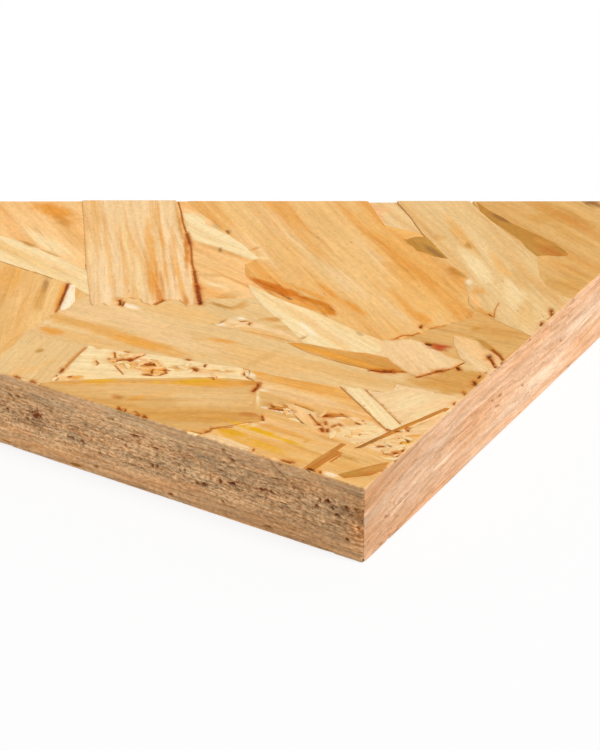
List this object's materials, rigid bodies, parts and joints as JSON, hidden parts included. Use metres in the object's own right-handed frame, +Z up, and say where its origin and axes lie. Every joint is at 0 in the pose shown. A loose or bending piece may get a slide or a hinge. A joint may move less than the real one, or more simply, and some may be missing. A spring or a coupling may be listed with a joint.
{
  "type": "oriented strand board panel",
  "caption": "Square-edged sheet of oriented strand board, pressed from large wood strands, with plain faces and sawn edges, for sheathing, decking and packing.",
  "frame": {"origin": "middle of the underside, on the surface the panel lies on", "axes": "+X along the long edges, +Y along the short edges, +Z up through the thickness"},
  "size_m": [1.22, 0.61, 0.018],
  "materials": {
    "strand_board": "pressed and lightly sanded softwood strands with resin, unsealed"
  },
  "bodies": {
    "root": {"osb_panel": "strand_board"}
  },
  "joints": []
}
